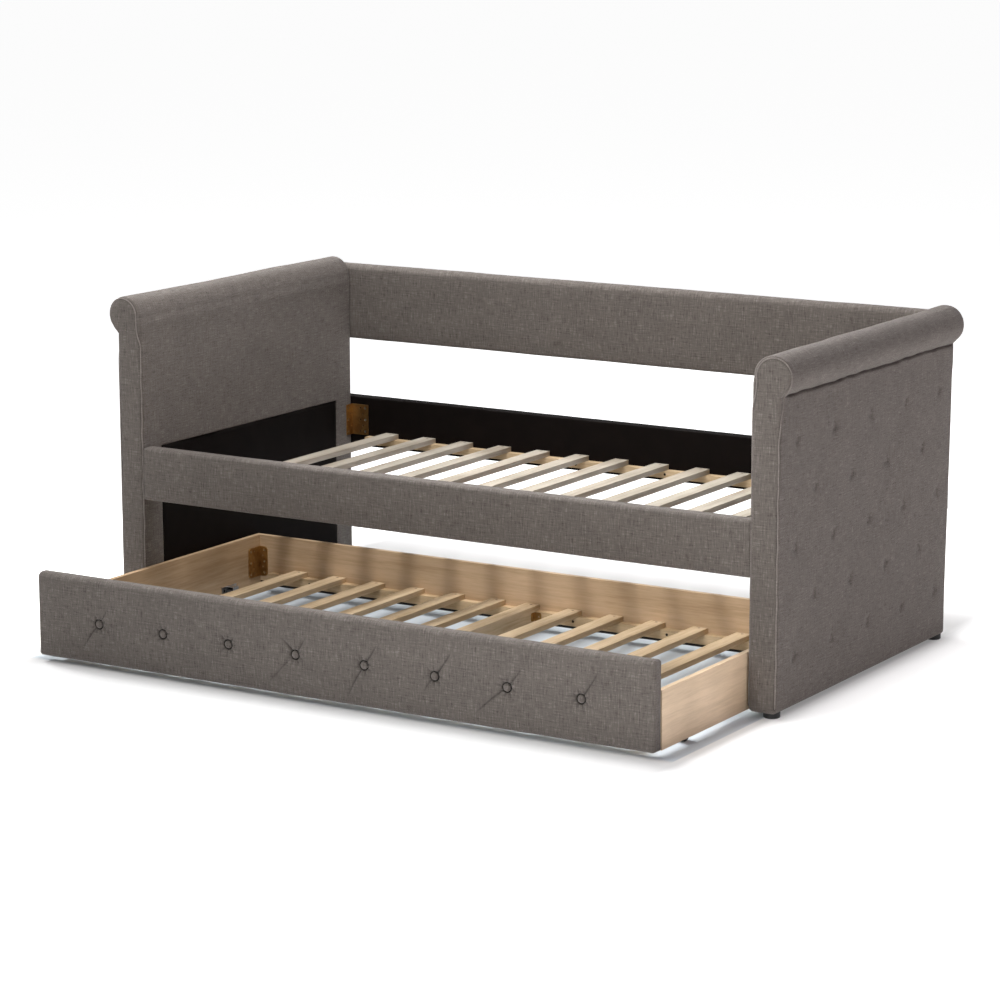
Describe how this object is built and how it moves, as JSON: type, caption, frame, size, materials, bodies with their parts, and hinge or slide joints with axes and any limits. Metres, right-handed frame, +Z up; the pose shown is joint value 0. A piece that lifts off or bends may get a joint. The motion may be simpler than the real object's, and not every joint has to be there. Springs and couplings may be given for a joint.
{
  "type": "trundle bed",
  "caption": "Upholstered daybed with rolled arms, slatted base and an open back, and a slatted pull-out trundle on rolling wheels.",
  "frame": {"origin": "on the floor, at the centre of the footprint of the whole bed with its trundle pulled out as stored", "axes": "+X along the bed to its right-hand arm, -Y to the front, the way the trundle pulls out, +Z up"},
  "size_m": [2.15, 1.584, 0.94],
  "materials": {
    "grey_fabric": "matte linen-look weave over wadding",
    "black_cloth": "matte thin black cloth",
    "hidden_timber": "sawn",
    "ledger_pine": "planed, unvarnished",
    "bed_slat_pine": "planed, unvarnished",
    "trundle_slat_pine": "planed, unvarnished",
    "trundle_board_pine": "planed, clear lacquer",
    "yellow_plated_steel": "yellow zinc plating",
    "screw_steel": "zinc plated",
    "bolt_steel": "black, satin",
    "caster_steel": "zinc plated",
    "black_plastic": "matte",
    "wheel_rubber": "matte"
  },
  "bodies": {
    "daybed": {"left_arm_frame": "hidden_timber", "right_arm_frame": "hidden_timber", "left_arm_cover": "grey_fabric", "right_arm_cover": "grey_fabric", "arm_linings": "black_cloth", "arm_buttons": "grey_fabric", "arm_glides": "black_plastic", "back_board_core": "hidden_timber", "back_board_cover": "grey_fabric", "rear_rail_core": "hidden_timber", "rear_rail_cover": "black_cloth", "front_rail_core": "hidden_timber", "front_rail_cover": "grey_fabric", "bed_front_ledger": "ledger_pine", "bed_rear_ledger": "ledger_pine", "bed_corner_brackets": "yellow_plated_steel", "bed_screws": "screw_steel", "back_bolts": "bolt_steel", "bed_slat_01": "bed_slat_pine", "bed_slat_02": "bed_slat_pine", "bed_slat_03": "bed_slat_pine", "bed_slat_04": "bed_slat_pine", "bed_slat_05": "bed_slat_pine", "bed_slat_06": "bed_slat_pine", "bed_slat_07": "bed_slat_pine", "bed_slat_08": "bed_slat_pine", "bed_slat_09": "bed_slat_pine", "bed_slat_10": "bed_slat_pine", "bed_slat_11": "bed_slat_pine", "bed_slat_12": "bed_slat_pine", "bed_slat_13": "bed_slat_pine"},
    "trundle": {"trundle_front_core": "hidden_timber", "trundle_front_cover": "grey_fabric", "trundle_front_buttons": "grey_fabric", "trundle_left_side": "trundle_board_pine", "trundle_right_side": "trundle_board_pine", "trundle_back": "trundle_board_pine", "trundle_front_ledger": "ledger_pine", "trundle_rear_ledger": "ledger_pine", "trundle_centre_beam": "ledger_pine", "trundle_brackets": "yellow_plated_steel", "trundle_screws": "screw_steel", "caster_frames": "caster_steel", "trundle_slat_01": "trundle_slat_pine", "trundle_slat_02": "trundle_slat_pine", "trundle_slat_03": "trundle_slat_pine", "trundle_slat_04": "trundle_slat_pine", "trundle_slat_05": "trundle_slat_pine", "trundle_slat_06": "trundle_slat_pine", "trundle_slat_07": "trundle_slat_pine", "trundle_slat_08": "trundle_slat_pine", "trundle_slat_09": "trundle_slat_pine", "trundle_slat_10": "trundle_slat_pine", "trundle_slat_11": "trundle_slat_pine", "trundle_slat_12": "trundle_slat_pine", "trundle_slat_13": "trundle_slat_pine"},
    "front_left_wheel": {"front_left_wheel": "wheel_rubber"},
    "front_right_wheel": {"front_right_wheel": "wheel_rubber"},
    "rear_left_wheel": {"rear_left_wheel": "wheel_rubber"},
    "rear_right_wheel": {"rear_right_wheel": "wheel_rubber"}
  },
  "joints": [
    {"name": "trundle_slide", "type": "slide", "parent": "daybed", "child": "trundle", "axis": [0, -1, 0], "range_m": [-0.484, 0.56]},
    {"name": "front_left_wheel_spin", "type": "hinge", "parent": "trundle", "child": "front_left_wheel", "pos_m": [-0.9315, -0.592, 0.02], "axis": [1, 0, 0], "continuous": true},
    {"name": "front_right_wheel_spin", "type": "hinge", "parent": "trundle", "child": "front_right_wheel", "pos_m": [0.9315, -0.592, 0.02], "axis": [1, 0, 0], "continuous": true},
    {"name": "rear_left_wheel_spin", "type": "hinge", "parent": "trundle", "child": "rear_left_wheel", "pos_m": [-0.9315, 0.062, 0.02], "axis": [1, 0, 0], "continuous": true},
    {"name": "rear_right_wheel_spin", "type": "hinge", "parent": "trundle", "child": "rear_right_wheel", "pos_m": [0.9315, 0.062, 0.02], "axis": [1, 0, 0], "continuous": true}
  ],
  "couplings": [
    {"joint": "front_left_wheel_spin", "follows": "trundle_slide", "rad_per_m": 50},
    {"joint": "front_right_wheel_spin", "follows": "trundle_slide", "rad_per_m": 50},
    {"joint": "rear_left_wheel_spin", "follows": "trundle_slide", "rad_per_m": 50},
    {"joint": "rear_right_wheel_spin", "follows": "trundle_slide", "rad_per_m": 50}
  ]
}
